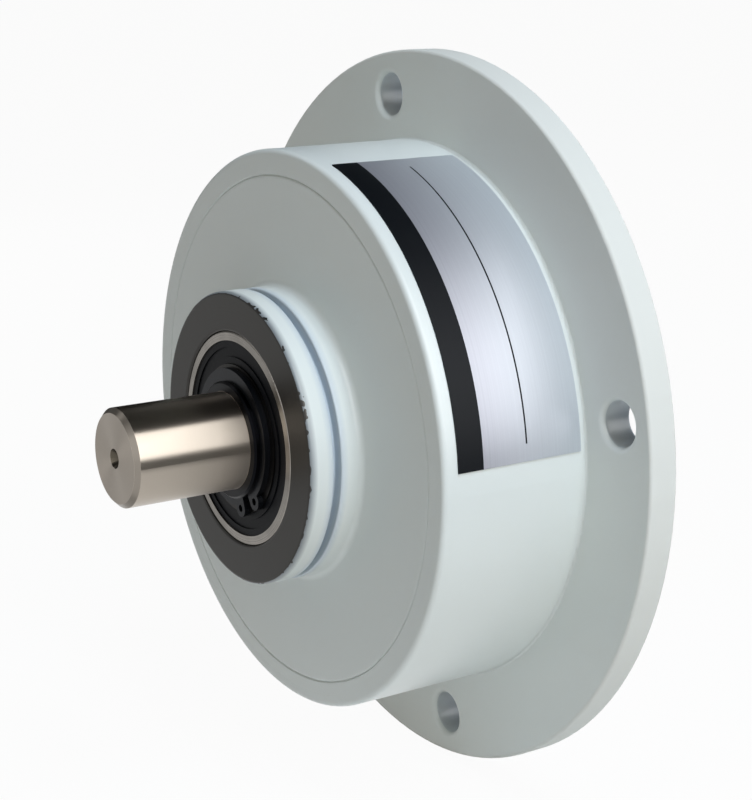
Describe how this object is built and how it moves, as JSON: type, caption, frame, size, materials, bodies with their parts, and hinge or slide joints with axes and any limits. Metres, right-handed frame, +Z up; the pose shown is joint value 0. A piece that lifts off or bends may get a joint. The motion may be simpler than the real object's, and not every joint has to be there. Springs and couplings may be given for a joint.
{
  "type": "magnetic powder brake",
  "caption": "Flange-mounted magnetic powder brake: white cylindrical body with a bearing boss and a plain steel shaft that turns against powder held by a coil.",
  "frame": {"origin": "centre of the flange's mounting face, on the shaft axis", "axes": "+Y out of the mounting face along the shaft axis, output shaft towards -Y, +Z up"},
  "size_m": [0.19, 0.097, 0.19],
  "materials": {
    "white_paint": "semi-gloss off-white enamel over steel",
    "ground_steel": "ground",
    "bearing_steel": "fine ground",
    "dark_spring_steel": "phosphated and oiled",
    "black_rubber": "moulded",
    "soft_iron": "turned",
    "brass": "turned",
    "bobbin_plastic": "moulded",
    "copper_winding": "enamelled copper wire",
    "iron_powder": "loose powder",
    "foil_label": "satin foil with a black band",
    "zinc_plate": "zinc plated"
  },
  "bodies": {
    "housing": {"mounting_flange": "white_paint", "body_ring": "white_paint", "front_cover": "white_paint", "rear_cover": "zinc_plate", "rear_cover_screws": "zinc_plate", "body_screws": "dark_spring_steel", "nameplate": "foil_label", "lead_grommet": "black_rubber", "rear_pole": "soft_iron", "front_pole": "soft_iron", "flux_break_ring": "brass", "coil_bobbin": "bobbin_plastic", "field_coil": "copper_winding", "magnetic_powder": "iron_powder", "front_outer_ring": "bearing_steel", "front_outside_seal": "black_rubber", "front_inside_seal": "black_rubber", "rear_outer_ring": "bearing_steel", "rear_outside_seal": "black_rubber", "rear_inside_seal": "black_rubber", "front_powder_seal": "black_rubber", "rear_powder_seal": "black_rubber"},
    "rotor": {"shaft": "ground_steel", "rotor_drum": "soft_iron", "rotor_key": "bearing_steel", "front_circlip": "dark_spring_steel", "rear_circlip": "dark_spring_steel", "front_spacer": "bearing_steel", "rear_spacer": "bearing_steel", "front_inner_ring": "bearing_steel", "rear_inner_ring": "bearing_steel"},
    "front_ball_set": {"front_balls": "bearing_steel", "front_cage": "brass"},
    "rear_ball_set": {"rear_balls": "bearing_steel", "rear_cage": "brass"}
  },
  "joints": [
    {"name": "shaft_spin", "type": "hinge", "parent": "housing", "child": "rotor", "pos_m": [0, 0, 0], "axis": [0, -1, 0], "continuous": true},
    {"name": "front_ball_orbit", "type": "hinge", "parent": "housing", "child": "front_ball_set", "pos_m": [0, -0.0567, 0], "axis": [0, -1, 0], "continuous": true},
    {"name": "rear_ball_orbit", "type": "hinge", "parent": "housing", "child": "rear_ball_set", "pos_m": [0, -0.0118, 0], "axis": [0, -1, 0], "continuous": true}
  ],
  "couplings": [
    {"joint": "front_ball_orbit", "follows": "shaft_spin", "ratio": 0.4153},
    {"joint": "rear_ball_orbit", "follows": "shaft_spin", "ratio": 0.3968}
  ]
}
